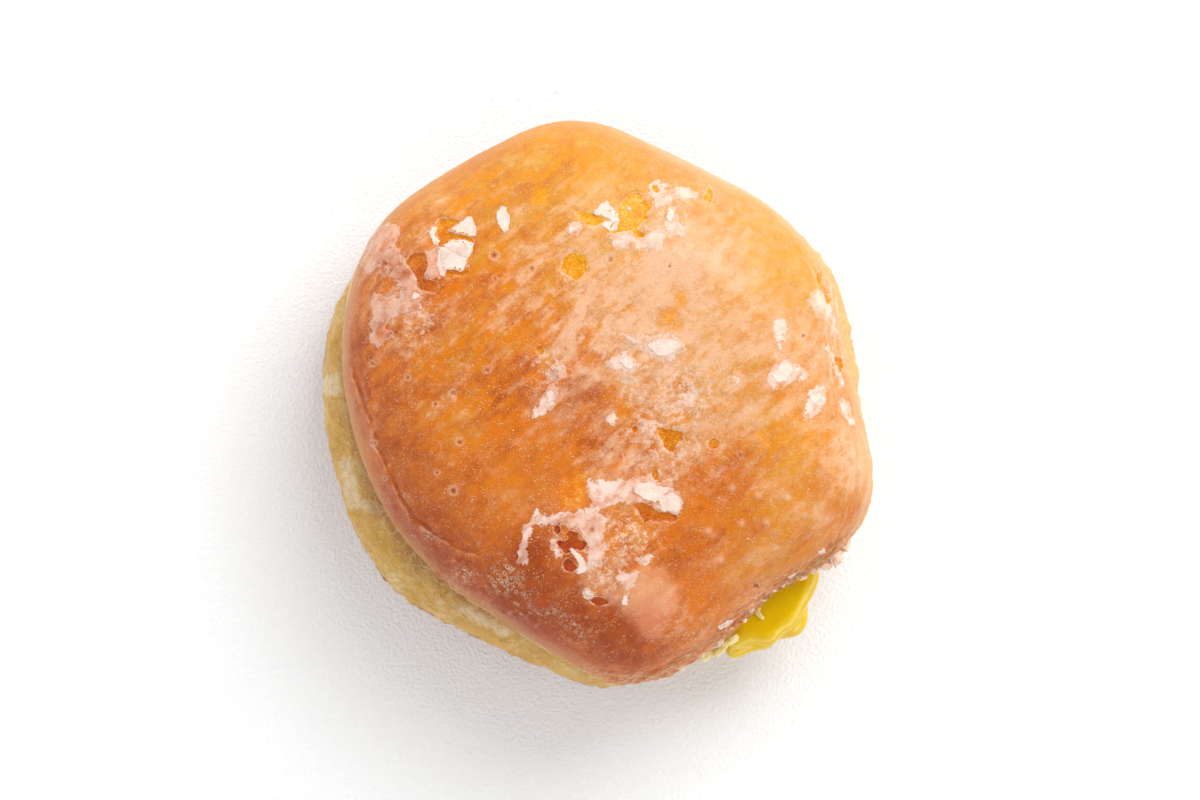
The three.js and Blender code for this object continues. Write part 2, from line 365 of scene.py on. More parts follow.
# Browning of the crust under the glaze, from -1 for dark red-brown to 1 for gold: x, y, spread, tone.
TONES = [
    (-6, 38, 16, 0.7), (-26, 30, 9, 0.4), (26, 24, 16, 0.8), (38, 14, 10, 0.3), (-20, 12, 10, 0.2),
    (-26, -26, 7, -0.3), (-13, -36, 7, -0.4), (-38, 10, 5, -0.3), (4, 26, 5, 0.2), (-2, 20, 9, 0.3),
    (12, 8, 12, 0.3), (34, -6, 10, 0.5), (28, -24, 9, 0.3), (-30, -24, 12, -0.4), (-16, -30, 6, -0.3),
    (-4, -34, 9, -0.4), (6, -41, 7, -0.4), (-39, -1, 7, -0.4), (-34, -17, 6, -0.3), (21, -11, 5, -0.35),
    (18, -1, 9, 0.3), (28, -16, 10, 0.15), (-15, -8, 5, -0.1), (-3, 2, 4, -0.4), (14, -23, 5, -0.3),
    (-8.6, -31.4, 1.7, 0.15), (-28, 20, 8, -0.4), (-10, -23, 3.5, -0.5), (-22, -4, 5, 0.2),
    (-14, -12, 5, 0.2), (-28, -8, 4, -0.2), (22, 22, 1.6, -0.4), (5, -20, 6, 0.3), (3, -36, 5, -0.3),
    (-7, -29, 5, -0.25), (8, 36, 8, 0.2),
]

# Milky glaze that veils the crust, partly a painted sheen where the light falls on the back right: x, y,
# spread, strength.
VEILS_AND_SHEEN = [
    (9, 12, 12, 1.0), (-2, 10, 7, 0.4), (12, 23, 8, 0.7), (17, 0, 8, 0.5), (-35, 20, 6, 0.35),
    (-26, 29, 5, 0.35), (16, 39, 8, 0.5), (43, -9, 5, 0.9), (38, 22, 5, 0.4), (-2, 28, 7, 0.3),
    (24, 28, 8, 0.4), (26, 12, 8, 0.5), (37, 8, 10, 0.6), (38, -6, 6, 0.5), (4, -9, 6, 0.8),
    (-7, 22, 8, 0.4), (15, 20, 6, 0.25), (2, 40, 6, 0.15), (-20, -14, 9, 0.12), (-6, -30, 5, 0.15),
    (13, -9, 5, 0.3), (5, -21, 5, 0.3), (1, -28, 4, 0.5), (24, -3, 5, 0.3), (27, -11, 4, 0.2),
    (35, -18, 6, 0.4), (26, -23, 4, 0.3), (16, -40, 7, 0.2), (-6, 1, 5, 0.3), (-29, 12, 5, 0.4),
    (-14, 14, 4, 0.3), (-41, -1, 3.5, 0.5), (-38.5, -9, 3.5, 0.35),
]

# Frost: lacy specks of drying glaze: x, y, spread, strength.
FROST = [
    (-7.5, 5.5, 3.6, 1.0), (5, 3, 4, 0.5), (19, -8, 5, 0.3), (10, 7, 7, 0.5), (15, 1, 5, 0.8),
    (8, -4, 4, 0.8), (13, -8, 4, 0.6), (5.5, -20.5, 4.5, 1.0), (-4, -20, 4, 0.7), (1, -27, 3.5, 0.9),
    (9, -12, 4, 0.5), (8, 25, 5, 0.6), (12, 31, 4, 0.6), (-29, 13, 5, 0.8), (-33, 22, 5, 0.5),
    (2, 14, 5, 0.3), (-23, 2, 5, 0.3), (26, 2, 5, 0.3), (36, 10, 6, 0.4), (14, -36, 6, 0.4),
    (26, -30, 6, 0.4),
]

# Froth: crowded little bubbles that set in the glaze.
FROTH = [
    (-14.4, -27.2, 3.0, 1.1), (-20.8, -26.6, 2.2, 0.7), (-26.2, -20.6, 2.0, 0.8), (-9.5, -32.5, 3.4, 0.35),
    (-2.0, -36.0, 4.0, 0.35), (3.0, -41.0, 3.5, 0.3), (-30.2, -14.8, 1.6, 0.5), (-23.5, -29.0, 3.0, 0.35),
    (-4.0, -33.0, 4.0, 0.35), (-13.0, -32.0, 3.0, 0.35),
]


def inside(patch, points, rough, seed):
    """How many millimetres each point lies inside a patch's ragged outline, negative outside it."""
    turn = math.radians(patch.turn)
    x = points[:, 0] - patch.x
    y = points[:, 1] - patch.y
    along = (x * math.cos(turn) + y * math.sin(turn)) / (patch.length / 2)
    across = (y * math.cos(turn) - x * math.sin(turn)) / (patch.width / 2)
    reach = np.sqrt(along**2 + across**2)
    field = (1.0 - reach) * min(patch.length, patch.width) / 2
    near = field > -3.0 * rough - 1.0
    if rough and near.any():
        field[near] += rough * noise_at(points[near], 1.7, seed)
        field[near] += 0.6 * rough * noise_at(points[near], 0.75, seed + 5)
    return field


def within(corners, points):
    """How many millimetres each point lies within an outline, negative outside it."""
    field = np.full(len(points), OUTSIDE)
    reach = (points[:, :2] > corners.min(axis=0) - 3.0) & (points[:, :2] < corners.max(axis=0) + 3.0)
    near = np.flatnonzero(reach.all(axis=1))
    here = points[near, None, :2]
    side = np.roll(corners, -1, axis=0) - corners
    share = ((here - corners) * side).sum(axis=2) / (side**2).sum(axis=1)
    nearest = corners + np.clip(share, 0.0, 1.0)[..., None] * side
    away = np.linalg.norm(here - nearest, axis=2).min(axis=1)
    spans = (corners[:, 1] > here[..., 1]) != ((corners + side)[:, 1] > here[..., 1])
    steep = np.where(np.abs(side[:, 1]) < 1e-9, 1e-9, side[:, 1])
    left = here[..., 0] < corners[:, 0] + (here[..., 1] - corners[:, 1]) / steep * side[:, 0]
    crossings = (spans & left).sum(axis=1)
    field[near] = np.where(crossings % 2 == 1, away, -away)
    return field


def strayed(points, size, reach, seed):
    """The points moved sideways by noise, which makes the outlines they are held against ragged."""
    moved = points.copy()
    moved[:, 0] += reach * noise_at(points, size, seed)
    moved[:, 1] += reach * noise_at(points, size, seed + 1)
    return moved


def deepest_within(shapes, points, seed):
    """How far within the nearest of many ragged outlines."""
    moved = strayed(strayed(points, 2.0, 0.3, seed), 0.8, 0.25, seed + 2)
    return np.max([within(corners, moved) for corners in shapes], axis=0)


def deepest(spots, points, rough, seed):
    """How far inside the nearest of many patches, the wide ones more ragged than the small ones."""
    field = np.full(len(points), OUTSIDE)
    for number, patch in enumerate(spots):
        raggedness = rough * min(min(patch.length, patch.width) / 3.0, 1.0)
        field = np.maximum(field, inside(patch, points, raggedness, seed + number))
    return field


def spread_of(spots, points):
    """The sum of soft round spots given as x, y, spread and strength."""
    total = np.zeros(len(points))
    for x, y, spread, strength in spots:
        total += strength * bump(away_from(points, x, y), spread)
    return total


# ---- Finishes ----


def colour(shade):
    """Red, green and blue as they look on a screen, up to 255, in the renderer's terms. Links stay."""
    if not isinstance(shade, tuple):
        return shade
    shares = (value / 255 for value in shade)
    return [*(s / 12.92 if s < 0.04045 else ((s + 0.055) / 1.055) ** 2.4 for s in shares), 1.0]


class Amount:
    """A number that varies over a surface. Arithmetic on it adds Math nodes."""

    def __init__(self, finish, socket):
        self.finish = finish
        self.socket = socket

    def math(self, operation, *others):
        inputs = dict(enumerate((self, *others)))
        node = self.finish.node("ShaderNodeMath", {"operation": operation}, inputs)
        return Amount(self.finish, node.outputs[0])

    __add__ = __radd__ = partialmethod(math, "ADD")
    __mul__ = __rmul__ = partialmethod(math, "MULTIPLY")
    __sub__ = partialmethod(math, "SUBTRACT")
    __abs__ = partialmethod(math, "ABSOLUTE")
    largest = partialmethod(math, "MAXIMUM")
    smallest = partialmethod(math, "MINIMUM")

    def __rsub__(self, other):
        return self * -1 + other

    def step(self, low, high):
        """Zero at low and one at high, with a smooth run between them."""
        node = self.finish.node(
            "ShaderNodeMapRange",
            {"interpolation_type": "SMOOTHSTEP"},
            {"Value": self, "From Min": low, "From Max": high},
        )
        return Amount(self.finish, node.outputs[0])

    def between(self, low, full, fading, gone):
        """One between two values, with smooth runs on both sides."""
        return self.step(low, full) * (1 - self.step(fading, gone))

    def line(self, thinness):
        """A line where the amount passes zero."""
        return (1 - abs(self) * thinness).largest(0.0)


class Nodes:
    """The nodes of a material or of the room's light."""

    def __init__(self, tree):
        self.tree = tree
        self.tree.nodes.clear()

    def node(self, kind, settings=None, inputs=None):
        made = self.tree.nodes.new(kind)
        for name, value in (settings or {}).items():
            if name == "stops":
                self.set_stops(made.color_ramp, value)
            else:
                setattr(made, name, value)
        for name, value in (inputs or {}).items():
            source = getattr(value, "socket", value)
            if isinstance(source, bpy.types.NodeSocket):
                self.tree.links.new(source, made.inputs[name])
            else:
                made.inputs[name].default_value = source
        return made

    def set_stops(self, ramp, stops):
        while len(ramp.elements) < len(stops):
            ramp.elements.new(1.0)
        for element, (position, shade) in zip(ramp.elements, stops.items()):
            element.position = position
            element.color = colour(shade)

    def axes(self, vector):
        sockets = self.node("ShaderNodeSeparateXYZ", inputs={"Vector": vector}).outputs
        return [Amount(self, socket) for socket in sockets]


class Finish(Nodes):
    """A material and the nodes that make it."""

    def __init__(self, name):
        self.material = bpy.data.materials.new(name)
        self.material.use_nodes = True
        super().__init__(self.material.node_tree)
        metres = self.node("ShaderNodeTexCoord").outputs["Object"]
        self.place = self.vector("SCALE", metres, Scale=1 / MM)
        self.x, self.y, self.z = self.axes(self.place)

    def vector(self, operation, first, second=(0, 0, 0), **inputs):
        sockets = {0: first, 1: second, **inputs}
        return self.node("ShaderNodeVectorMath", {"operation": operation}, sockets).outputs[0]

    def amount(self, name):
        """A number kept for each vertex."""
        node = self.node("ShaderNodeAttribute", {"attribute_name": name})
        return Amount(self, node.outputs["Fac"])

    def turned(self, degrees, along, across, up=None):
        """The place with its pattern drawn out in one direction, seen from above."""
        return self.node(
            "ShaderNodeMapping",
            {"vector_type": "TEXTURE"},
            {
                "Vector": self.place,
                "Rotation": (0, 0, math.radians(degrees)),
                "Scale": (along, across, up or across),
            },
        ).outputs[0]

    def pattern(self, kind, size, seed, where, **inputs):
        """A pattern "size" millimetres across, moved to a place of its own by the seed."""
        shifted = self.vector("ADD", where or self.place, (seed * 3.7, seed * 5.1, seed * 2.3))
        return self.node(kind, inputs={"Vector": shifted, "Scale": 1 / size, **inputs}).outputs[0]

    def noise(self, size, seed, detail=2.0, where=None, rough=0.5):
        """Noise from 0 to 1."""
        return Amount(
            self, self.pattern("ShaderNodeTexNoise", size, seed, where, Detail=detail, Roughness=rough)
        )

    def waver(self, *settings, **others):
        """Noise from -0.5 to 0.5."""
        return self.noise(*settings, **others) - 0.5

    def cells(self, size, seed):
        """The distance to the nearest of many scattered points, as a share of the cell size."""
        return Amount(self, self.pattern("ShaderNodeTexVoronoi", size, seed, None))

    def ramp(self, amount, stops):
        """Colours along an amount, given as {amount: colour}."""
        return self.node("ShaderNodeValToRGB", {"stops": stops}, {0: amount}).outputs[0]

    def mix(self, share, first, second):
        inputs = {0: share, 6: colour(first), 7: colour(second)}
        return self.node("ShaderNodeMix", {"data_type": "RGBA"}, inputs).outputs[2]

    def lay(self, share, shade):
        """Lays a colour over the shade so far, as thickly as its share says."""
        self.shade = self.mix(share, self.shade, shade)

    def done(self, roughness, specular, height, depth, others):
        """Ends the material in one shader. Height is in shares of the depth, in millimetres."""
        raised = {"Height": height, "Distance": depth * MM, "Strength": 1.0}
        inputs = {
            "Base Color": self.shade,
            "Roughness": roughness,
            "Specular IOR Level": specular,
            "Normal": self.node("ShaderNodeBump", inputs=raised).outputs[0],
        }
        shader = self.node("ShaderNodeBsdfPrincipled", inputs={**inputs, **others})
        self.node("ShaderNodeOutputMaterial", inputs={0: shader.outputs[0]})
        return self.material


def scattering(weight, reach, colours=(1.0, 0.5, 0.25)):
    """Light that soaks in and comes out nearby, over about "reach" millimetres."""
    return {
        "Subsurface Weight": weight,
        "Subsurface Radius": colours,
        "Subsurface Scale": reach * MM,
    }


def glaze_finish():
    """Sugar glaze over browned crust: clear and amber where thin, cloudy where thick with a painted sheen on
    the lit side, white where dry.
    """
    f = Finish("sugar glaze")
    wide = f.waver(6.0, 1)
    drift = f.waver(1.0, 2, where=f.turned(BRUSHED + 2, 6.0, 2.4))
    drift = drift * (1 - (f.x + f.y).step(12.0, 40.0) * 0.6)
    streak = f.waver(1.0, 3, where=f.turned(BRUSHED + 5, 5.0, 1.1))
    hair = f.waver(1.0, 17, where=f.turned(BRUSHED + 6, 6.0, 0.45))
    mottle = f.waver(1.4, 4, 3.0, rough=0.6)
    grain = f.waver(0.4, 5)
    grit = f.waver(0.18, 26, 1.0)
    milk = f.waver(1.0, 7, 3.0, f.turned(BRUSHED, 3.6, 1.7))
    coast = f.waver(1.3, 8, 5.0, rough=0.7)
    lace = f.noise(0.9, 15, 5.0, rough=0.75)
    spark = f.noise(0.3, 14, rough=0.7)
    wet = f.amount("wet")
    ground = f.amount("tone")
    milky_and_sheen = f.amount("veil")
    frosty = f.amount("frost")
    band = f.amount("band")

    # The browned crust. It is calm on the walls, where it is dark, and at the lower left.
    lively = f.z.step(29.0, 36.0) * 0.65 + 0.35
    lively = lively * (ground * 1.1 + 1).smallest(1.0).largest(0.2)
    lively = lively * (1.5 - f.x.step(-16.0, 12.0) * 0.55) * (1 - (f.x + f.y).step(24.0, 50.0) * 0.35)
    lively = lively * (1 - (1 - f.y.step(-14.0, 6.0)) * (1 - f.x.step(-10.0, 2.0)) * 0.5)
    # Brush lines show most on the left and in the middle.
    hair = hair * (1 - (f.x - f.y * 0.5).step(4.0, 24.0) * 0.8)
    tone = ground + (wide * 0.9 + drift * 0.8 + mottle * 0.7 + streak * 0.5 + hair * 0.25) * lively
    tone = tone.largest(ground - 0.45) + grain * 0.4 + grit * 0.6
    browning = {0.0: (140, 48, 10), 0.25: (176, 78, 24), 0.5: (206, 112, 40), 0.75: (216, 138, 46)}
    f.shade = f.ramp(tone * 0.5 + 0.5, {**browning, 1.0: (222, 162, 62)})
    amber = f.noise(1.0, 6, where=f.turned(BRUSHED + 4, 5.0, 2.2)) + mottle * 0.15
    amber = amber.step(0.48, 0.63) * 0.7 * lively
    f.lay(amber.largest(wet * 0.9), f.mix(ground, (218, 116, 12), (234, 158, 22)))

    # The bare crumb that sparkles through thin places and holes.
    glint = spark * 0.7 + mottle * 0.6 + 0.15
    gold = f.ramp(glint, {0.3: (230, 140, 6), 0.5: (246, 168, 14), 0.72: (255, 214, 110)})
    amber_crumb = f.ramp(glint, {0.3: (208, 98, 8), 0.5: (228, 130, 10), 0.75: (248, 190, 90)})
    thin = f.mix(ground.step(0.2, 0.8), amber_crumb, gold)
    f.lay(f.amount("gold") * 0.75, thin)

    # Milky glaze, partly painted sheen: a veiling in islands, the paler lower edge with a painted highlight
    # along it, and the pool.
    cloud = milk * 1.7 + wide * 0.9 + hair * 0.4 + mottle * 0.7 + grain * 0.4
    islands = f.noise(2.4, 25, 6.0, f.turned(BRUSHED, 1.8, 1.0), 0.7)
    islands = islands.step(0.49, 0.53) * 0.5 - 0.25
    veil = (milky_and_sheen + (cloud + islands * milky_and_sheen.smallest(1.0)) * lively).step(0.0, 1.4) * 0.9
    f.lay(veil * (1 - wet * 0.85), f.mix(f.z.step(28.0, 36.0), (232, 176, 124), (238, 188, 150)))
    lip = f.amount("lip")
    sunward = (f.x + f.y).step(-30.0, 30.0)
    f.lay(lip * 0.9, f.mix(sunward, (204, 156, 100), (228, 190, 142)))
    # Painted highlight: a cream line along the very edge of the lip.
    f.lay(lip.step(0.64, 0.9) * 0.75, f.mix(sunward, (230, 192, 138), (238, 206, 160)))
    far_side = 1 - (f.x + f.y * 0.2).step(-2.0, 3.0) * (1 - f.y.step(-32.0, -27.0))
    pool = (f.amount("pool") + (milk * 2 + mottle) * far_side).step(-0.2 - far_side, 0.5 + far_side * 2)
    depth = (milk + (f.y - f.x * 0.3) * 0.1).step(-3.9, -3.0)
    f.lay(pool * (0.75 - far_side * 0.2), f.mix(depth, (222, 134, 96), (240, 180, 136)))

    # Frost and its threads.
    frost = (lace + frosty * 0.1 + milk * 0.2).step(0.57, 0.67) * frosty * 0.8
    f.lay(frost, (246, 212, 190))
    threads = f.waver(1.7, 19, 4.0, rough=0.65).line(26)
    threads = threads * (frosty + milky_and_sheen * 0.35).smallest(1.0) * f.noise(2.4, 20).step(0.4, 0.6)
    f.lay(threads * 0.4, (255, 226, 200))

    # White films, brighter along their edges.
    ragged = f.amount("film") + 0.2 + coast * 3.0 + grain * 0.4
    body = (0.74 + milk * 2.0 + mottle * 1.5 + wide * 0.8).smallest(0.97).largest(0.1)
    body = body * (1 - (f.y - f.x).step(38.0, 46.0) * 0.4) * (1 - frosty * 0.35)
    film = ragged.step(-0.03, 0.14) * body
    f.lay(film, f.mix(body, (236, 188, 164), (250, 221, 208)))
    edge = ragged.between(-0.06, 0.04, 0.06, 0.25) * f.amount("film").step(-1.0, -0.2)
    f.lay(edge * 0.5, (252, 228, 212))

    # Froth: rings with dark middles, and finer foam where it is thickest.
    froth = f.cells(1.3, 9) + mottle * 0.25
    foam = f.cells(0.6, 18) + grain * 0.2
    frothy = f.amount("froth")
    frothy = (frothy + wide * 1.2 + mottle * 1.2).step(0.1, 0.9) * frothy.step(0.05, 0.5)
    foamy = foam.between(0.2, 0.32, 0.4, 0.5) * (frothy - 0.35).largest(0.0) * 1.5
    bubble = (froth.between(0.12, 0.2, 0.26, 0.36) * frothy).largest(foamy)
    hollow = (1 - froth.step(0.06, 0.16)) * frothy
    f.lay(bubble * 0.75, (238, 196, 166))
    f.lay(hollow * 0.65, (150, 62, 26))

    # Specks, partly painted glints; craters; folds and the crease, with painted highlights and shade; and
    # the wrinkled band, with painted highlights and shade.
    # Pale dots and sugar dust, which also stand in for glints: partly painted highlights.
    dots = (1 - f.cells(0.7, 11).step(0.08, 0.24)) * f.noise(3.5, 10).step(0.42, 0.65)
    dust_and_glints = f.noise(0.26, 12, rough=0.7).step(0.6, 0.68) * f.noise(2.2, 13).step(0.4, 0.58)
    f.lay((dots * 0.5).largest(dust_and_glints * 0.75), (255, 222, 186))
    f.lay(f.amount("ring") * 0.45, (250, 212, 180))
    f.lay(f.amount("pit") * 0.8, (176, 74, 24))
    # Painted highlight on the crests of the glaze's folds.
    f.lay(f.amount("fold") * (lace.step(0.35, 0.6) * 0.4 + 0.15), (244, 208, 164))
    across = f.amount("beyond") + mottle * 0.7
    crease = f.amount("crease")
    # The crease on the left wall: painted shade down in it and a painted highlight on its outer ridge.
    crease_shade = (1 - abs(across + 0.05).step(0.1, 0.34)) * crease * f.noise(3.0, 22).step(0.38, 0.52)
    crease_highlight = (1 - abs(across - 0.42).step(0.05, 0.3)) * crease * f.noise(2.2, 23).step(0.4, 0.6)
    f.lay(crease_shade * 0.85, (134, 50, 22))
    f.lay(crease_highlight * 0.6, (236, 190, 158))
    fibres = f.waver(1.0, 16, 3.0, f.turned(BRUSHED - 5, 3.2, 0.8, 3.0), 0.6)
    crinkle = fibres.line(11) * band
    furrow = fibres.step(0.06, 0.16) * band
    f.lay(band * 0.45, (226, 124, 50))
    # Painted shade in the band's furrows and painted highlights on its crinkles, besides their relief.
    f.lay(furrow * 0.5, (186, 90, 34))
    f.lay(crinkle * (grain + 0.5), (250, 210, 176))

    # Holes, down to the crust.
    broken = f.amount("hole") + coast * 0.5 + grain * 0.3
    bare = broken.step(-0.04, 0.06)
    rim = broken.step(-0.25, -0.1) * (1 - bare) * lace.step(0.4, 0.55)
    f.lay(rim * 0.4, (255, 226, 200))
    f.lay(bare, f.mix(f.amount("redness"), thin, f.ramp(glint, {0.3: (158, 50, 18), 0.7: (206, 96, 42)})))

    raised = grain * 0.6 + grit * 0.5 + (dust_and_glints * 0.3 + dots * 0.4) * (1 - bare)
    raised = raised + film * 0.5 + threads * 0.5 + crinkle * 1.2 - furrow * 0.3
    raised = raised + bubble - hollow * 0.8 + streak * 0.6 + mottle * 0.8 + bare * (spark * 1.6 - 0.8)
    coating = {
        "Coat Weight": (f.z.step(25.0, 37.0) * 0.4 + 0.05) * (1 - film * 0.8),
        "Coat Roughness": 0.12,
        "Coat IOR": 1.32,
        "IOR": 1.35,
    }
    return f.done(0.36 + film * 0.25 + grain * 0.3, 0.12, raised, 0.17, {**coating, **scattering(0.1, 1.0)})


def flake_finish():
    """Hard dry sugar: matt, white with a breath of pink."""
    f = Finish("dry sugar flakes")
    grain = f.waver(0.35, 2)
    cloud = f.noise(1.6, 1, 3.0) + grain * 0.6
    f.shade = f.ramp(cloud, {0.25: (242, 206, 186), 0.5: (250, 219, 202), 0.75: (255, 233, 218)})
    return f.done(0.5 + grain * 0.4, 0.3, grain, 0.12, scattering(0.2, 0.8, (1.0, 0.7, 0.5)))


def dough_finish():
    """Fried dough: brown base, pale proof band with a wrinkled skin and painted shade under the dome, amber
    crown, open crumb at the slit.
    """
    f = Finish("fried dough")
    lumps = f.waver(5.0, 1, 3.0)
    fine = f.waver(0.9, 2, 3.0)
    grain = f.waver(0.35, 3)
    folds = f.noise(1.0, 4, 3.0)
    brown = {0.3: (136, 68, 30), 0.5: (172, 96, 46), 0.7: (196, 122, 62)}
    pale = {0.3: (200, 148, 56), 0.5: (212, 164, 74), 0.7: (224, 188, 108)}
    amber = {0.3: (222, 106, 10), 0.5: (238, 132, 16), 0.7: (250, 164, 40)}
    crumb = {0.3: (232, 196, 126), 0.55: (246, 222, 164), 0.75: (252, 238, 196)}
    crown = f.mix(f.amount("redness"), f.ramp(fine * 0.6 + grain * 0.4 + 0.5, amber), (176, 68, 34))
    height = f.z + lumps * 3.0 + fine
    open_crumb = f.amount("crumb")
    f.shade = f.ramp(lumps * 0.6 + fine * 0.4 + 0.5, brown)
    f.lay(height.step(8.6, 9.8), f.ramp(lumps * 0.7 + fine * 0.3 + 0.5, pale))
    f.lay(height.step(20.0, 23.0), crown)
    f.lay(open_crumb, f.ramp(fine + 0.5, crumb))
    f.lay((f.amount("pale") + lumps * 0.8 + fine * 0.8).step(0.25, 0.85) * 0.7, (230, 208, 176))
    skin = 1 - open_crumb
    # Painted shade: a dark band on the dough just under the dome's overhang, where its shadow falls.
    f.lay(f.z.between(13.2, 15.8, 19.0, 22.0) * skin * 0.8, (150, 92, 28))
    below = 1 - f.z.step(19.0, 22.0)
    f.lay((f.x + f.y * 0.4).step(26.0, 38.0) * below * skin * 0.8, (236, 184, 116))
    veins = f.waver(2.6, 6, 3.0, rough=0.6).line(16) * (1 - f.z.step(20.0, 22.0))
    f.lay(veins * 0.35 * skin, (236, 206, 150))
    raised = fine * 0.6 + grain * 0.4 + folds * 0.4 + veins * 0.6
    coating = {"Coat Weight": 0.12, "Coat Roughness": 0.25}
    return f.done(0.42 + fine * 0.3, 0.35, raised, 0.25, {**coating, **scattering(0.2, 1.5)})


def curd_finish():
    """Lemon curd: smooth, glossy and a little see-through."""
    f = Finish("lemon curd")
    swirl = f.noise(3.0, 1)
    fine = f.noise(0.6, 2)
    f.shade = f.ramp(swirl * 0.7 + fine * 0.3, {0.3: (224, 182, 0), 0.5: (232, 190, 0), 0.7: (238, 198, 0)})
    # Painted highlight along the curd's rim.
    f.lay(f.amount("rim") * (fine * 0.7 + 0.2), (252, 228, 140))
    coating = {"Coat Weight": 0.05, "Coat Roughness": 0.06, **scattering(0.15, 1.5, (1.0, 0.8, 0.1))}
    return f.done(0.2 + fine * 0.1, 0.15, swirl * 0.6 + fine * 0.2, 0.15, coating)


def crumb_finish():
    """Broken crumbs of glaze, clearer and warmer than the dry flakes."""
    f = Finish("glaze crumbs")
    fine = f.noise(0.5, 1, 3.0)
    f.shade = f.ramp(fine, {0.3: (240, 190, 156), 0.5: (250, 214, 188), 0.7: (255, 236, 218)})
    return f.done(0.3 + fine * 0.2, 0.4, fine, 0.15, scattering(0.4, 1.0, (1.0, 0.7, 0.5)))


def shred_finish():
    """Torn dough."""
    f = Finish("torn dough")
    fine = f.noise(0.5, 1, 3.0)
    f.shade = f.ramp(fine, {0.3: (250, 218, 130), 0.7: (255, 246, 190)})
    return f.done(0.6, 0.5, fine, 0.15, scattering(0.3, 1.0))


def floor_finish():
    """White paper board with a fine tooth."""
    f = Finish("white board")
    tooth = f.noise(0.55, 1, 3.0)
    f.shade = f.ramp(tooth, {0.3: (245, 247, 249), 0.7: (252, 254, 255)})
    # Painted light: the board glows a little, though it is no lamp, which lifts its shadows.
    painted_glow = {"Emission Color": colour((255, 255, 255)), "Emission Strength": 0.08}
    return f.done(0.75 + tooth * 0.1, 0.1, tooth, 0.26, painted_glow)


# ---- The dough ----

DOUGH_CELL = 0.6
SLIT_REACH = 16  # degrees to either side of the slit's middle


def slit_direction():
    """The direction of the filling's outermost point, in degrees."""
    points = coordinates(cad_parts["lemon_filling"].data)
    far = points[np.argmax(np.hypot(points[:, 0], points[:, 1]))]
    return math.degrees(math.atan2(far[1], far[0]))


def redness(points):
    """How far the crust turns from amber to red-brown, towards the front left."""
    front = smoothstep(0.0, 26.0, -(points[:, 0] * 0.5 + points[:, 1]))
    left = 0.7 * bump(away_from(points, -28.0, 20.0), 4.0)
    return np.maximum(front, left)


# Dried sugar on the dough's left side.
PALE = outlines(
    (-42, -8.6, -40.2, -9, -39.6, -12, -38.6, -15.4, -36.2, -16.2, -33, -16.8, -36, -17.8, -40.6, -17),
    (-47, 4.8, -42, 4.6, -41.6, 1.8, -46, 1.4),
    (-26, -31.5, -20, -33.5, -14, -37, -15, -38, -21, -35, -26, -32.6),
)


def pale_skin(points):
    """Where sugar has dried on the dough's sides: patches on the left and bits of the rest."""
    sides = between(BASE_Z - 1, BASE_Z + 2, GROOVE_Z + 1, LIP_Z, points[:, 2])
    field = np.full(len(points), OUTSIDE)
    low = sides > 0
    field[low] = deepest_within(PALE, points[low], 60)
    dried = smoothstep(-1.6, 0.8, field) * (0.75 + 0.4 * noise_at(points, 3.0, 9))
    return sides * np.maximum(dried, 0.2 + 0.4 * noise_at(points, (5.0, 5.0, 9.0), 8))


def dough_relief(points, depth):
    """How far the dough's skin stands out from the smooth model."""
    sides = between(BASE_Z - 5, BASE_Z, GROOVE_Z, LIP_Z - 2, points[:, 2])
    unrolled = round_and_up(points)
    lumps = 0.35 * noise_at(points, 8.0, 1) + 0.12 * noise_at(points, 2.2, 2)
    skin = 0.3 * ridges_at(unrolled, (4.0, 6.0, 1.0), 3) + 0.25 * ridges_at(unrolled, (3.0, 1.8, 1.0), 4)
    crust = 0.06 * noise_at(points, 1.6, 5)
    torn = 0.35 * noise_at(points, 1.3, 6, 3)
    under_glaze = GLAZE_THICK * smoothstep(GROOVE_Z + 2, LIP_Z, points[:, 2])
    reach = 0.5 + 0.7 * sector(points, 225, 30, 30.0)
    reach += 0.9 * bump(angle_from(points, 271), 9.0) - 0.5 * bump(angle_from(points, 234), 26.0)
    skirt = bump(points[:, 2] - BASE_Z, 6.0) * reach
    relief = sides * (lumps + skin - 0.15) + crust - under_glaze + skirt
    return relief + bump(np.maximum(depth, 0.0), 1.2) * torn


def make_dough(smooth_dough, filling_tree):
    mesh = smooth_dough.copy()
    points = coordinates(mesh)
    to_curd = np.array([filling_tree.find_nearest(p)[3] for p in points.tolist()])
    relief = dough_relief(points, to_curd)
    points = points + outwards(mesh) * relief[:, None]
    points[:, 2] = np.maximum(points[:, 2], 0.0)
    put_at(mesh, points)
    mark(mesh, "crumb", 1.0 - smoothstep(0.7, 1.6, to_curd))
    mark(mesh, "redness", redness(points))
    mark(mesh, "pale", pale_skin(points))
    finished("dough_crust", mesh, dough_finish(), "dough")


# ---- The glaze ----

GLAZE_CELLS = 200  # squares across the top of the dome's sheet
GLAZE_SIDES = 52  # rows of squares down its sides
GLAZE_THICK = 0.45
GLAZE_DEEP = 1.0  # from its surface to its inner side, in the dough
HOLE_BOTTOM = 0.12  # how much glaze is left in the bottom of a hole
GLAZE_END = 20.9  # the height at which it ends
GLAZE_END_AT_SLIT = 22.9


